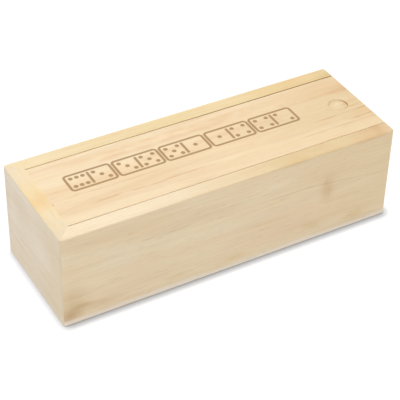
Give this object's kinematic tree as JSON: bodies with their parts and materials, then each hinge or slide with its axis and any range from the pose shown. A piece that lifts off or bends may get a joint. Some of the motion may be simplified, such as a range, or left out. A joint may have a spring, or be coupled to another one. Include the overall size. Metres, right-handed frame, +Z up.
{
  "type": "domino storage box",
  "caption": "Plain wooden domino storage box: grooved boards mitred at the closed end, and a tongued lid with a round finger notch that slides out over the low end.",
  "frame": {"origin": "centre of the base, on the surface that the box stands on", "axes": "+X is the way the lid slides out, along the box; -Y is the front; +Z is up"},
  "size_m": [0.209, 0.073, 0.06],
  "materials": {
    "wall_board": "matte",
    "end_board": "matte",
    "panel_board": "matte",
    "lid_board": "matte"
  },
  "bodies": {
    "box": {"front_wall": "wall_board", "back_wall": "wall_board", "fixed_end": "end_board", "low_end": "end_board", "bottom_panel": "panel_board"},
    "lid": {"lid": "lid_board"}
  },
  "joints": [
    {"name": "lid_slide", "type": "slide", "parent": "box", "child": "lid", "axis": [1, 0, 0], "range_m": [0, 0.206]}
  ]
}
